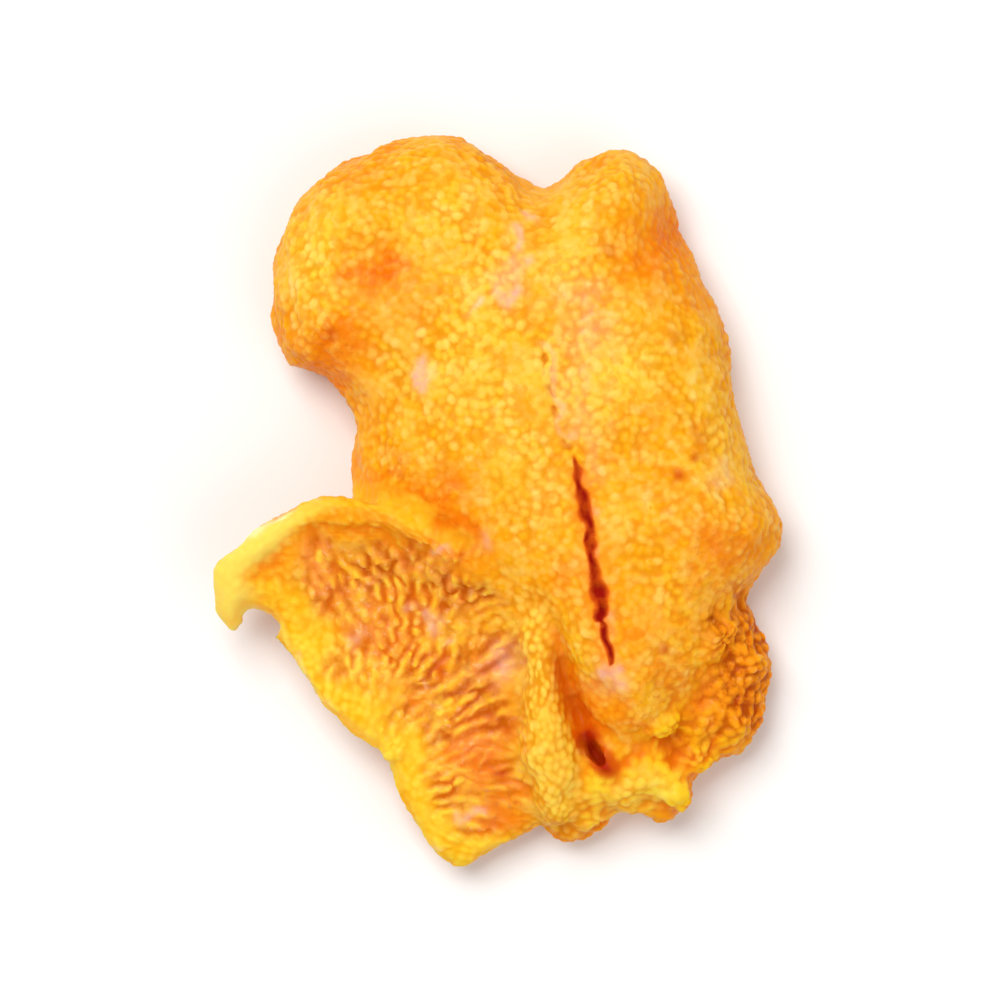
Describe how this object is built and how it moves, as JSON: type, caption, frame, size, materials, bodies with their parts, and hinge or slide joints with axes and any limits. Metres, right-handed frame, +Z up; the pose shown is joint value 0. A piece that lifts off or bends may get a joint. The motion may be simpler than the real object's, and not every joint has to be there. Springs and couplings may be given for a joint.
{
  "type": "sea urchin roe",
  "caption": "Torn lobe of sea urchin roe: soft granular orange-yellow tissue with a curled leaf, a ridge, a slit and a flat resting underside.",
  "frame": {"origin": "on the surface that the lobe rests on, at the middle of the lobe's bounding box seen from above", "axes": "+Z up from the resting surface, +Y towards the rounded heel of the lobe, +X towards the toe's side, away from the curled leaf"},
  "size_m": [0.0326, 0.0422, 0.009],
  "materials": {
    "roe": null
  },
  "bodies": {
    "root": {"roe_lobe": "roe"}
  },
  "joints": []
}
